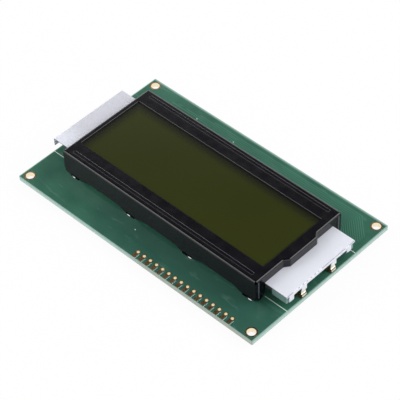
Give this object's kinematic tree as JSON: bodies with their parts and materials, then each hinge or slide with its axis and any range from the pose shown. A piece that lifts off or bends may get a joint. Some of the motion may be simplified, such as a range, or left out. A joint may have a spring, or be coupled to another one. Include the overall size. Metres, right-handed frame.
{
  "type": "character lcd module",
  "caption": "Character display module: a printed board carrying a liquid crystal cell in a folded steel bezel, edge-lit from one end, with a row of header holes.",
  "frame": {"origin": "centre of the board's top face, which is also the centre of the four mounting holes", "axes": "+X along the long edge towards the light bar and its leads, +Y away from the header holes, +Z out of the screen towards the viewer"},
  "size_m": [0.098, 0.06, 0.0119],
  "materials": {
    "board_mask": "glossy green solder mask on glass-epoxy",
    "gold_plating": "thin gold plate over copper",
    "black_bezel": "satin black paint on folded steel",
    "display_polariser": "satin olive polarising film",
    "cell_glass": "clear float glass",
    "cell_resin": "cured seal resin",
    "cell_liquid": "liquid crystal",
    "contact_rubber": "layered conductive silicone",
    "white_film": "matte white polyester film",
    "white_moulding": "moulded white polycarbonate",
    "clear_acrylic": "polished clear acrylic",
    "frosted_moulding": "translucent moulded housing",
    "led_body": "yellow-green light source",
    "tinned_metal": "bright tin over copper",
    "potting_resin": "black epoxy",
    "chip_body": "glazed thick-film chip",
    "chip_ceramic": "sintered ceramic"
  },
  "bodies": {
    "root": {"pcb": "board_mask", "mounting_rings": "gold_plating", "header_pads": "gold_plating", "strip_contacts": "gold_plating", "led_pads": "gold_plating", "bezel": "black_bezel", "front_polariser": "display_polariser", "front_glass": "cell_glass", "cell_seal": "cell_resin", "liquid_crystal": "cell_liquid", "end_seal_plug": "cell_resin", "rear_glass": "cell_glass", "rear_polariser": "display_polariser", "front_contact_strip": "contact_rubber", "back_contact_strip": "contact_rubber", "cover_film": "white_film", "diffuser_film": "white_film", "light_guide": "clear_acrylic", "backlight_tray": "white_moulding", "led_holder": "frosted_moulding", "led_board": "white_moulding", "led_chips": "led_body", "cathode_lead": "tinned_metal", "anode_lead": "tinned_metal", "lead_solder": "tinned_metal", "controller_glob": "potting_resin", "driver_globs": "potting_resin", "chip_resistors": "chip_body", "chip_capacitors": "chip_ceramic"}
  },
  "joints": []
}
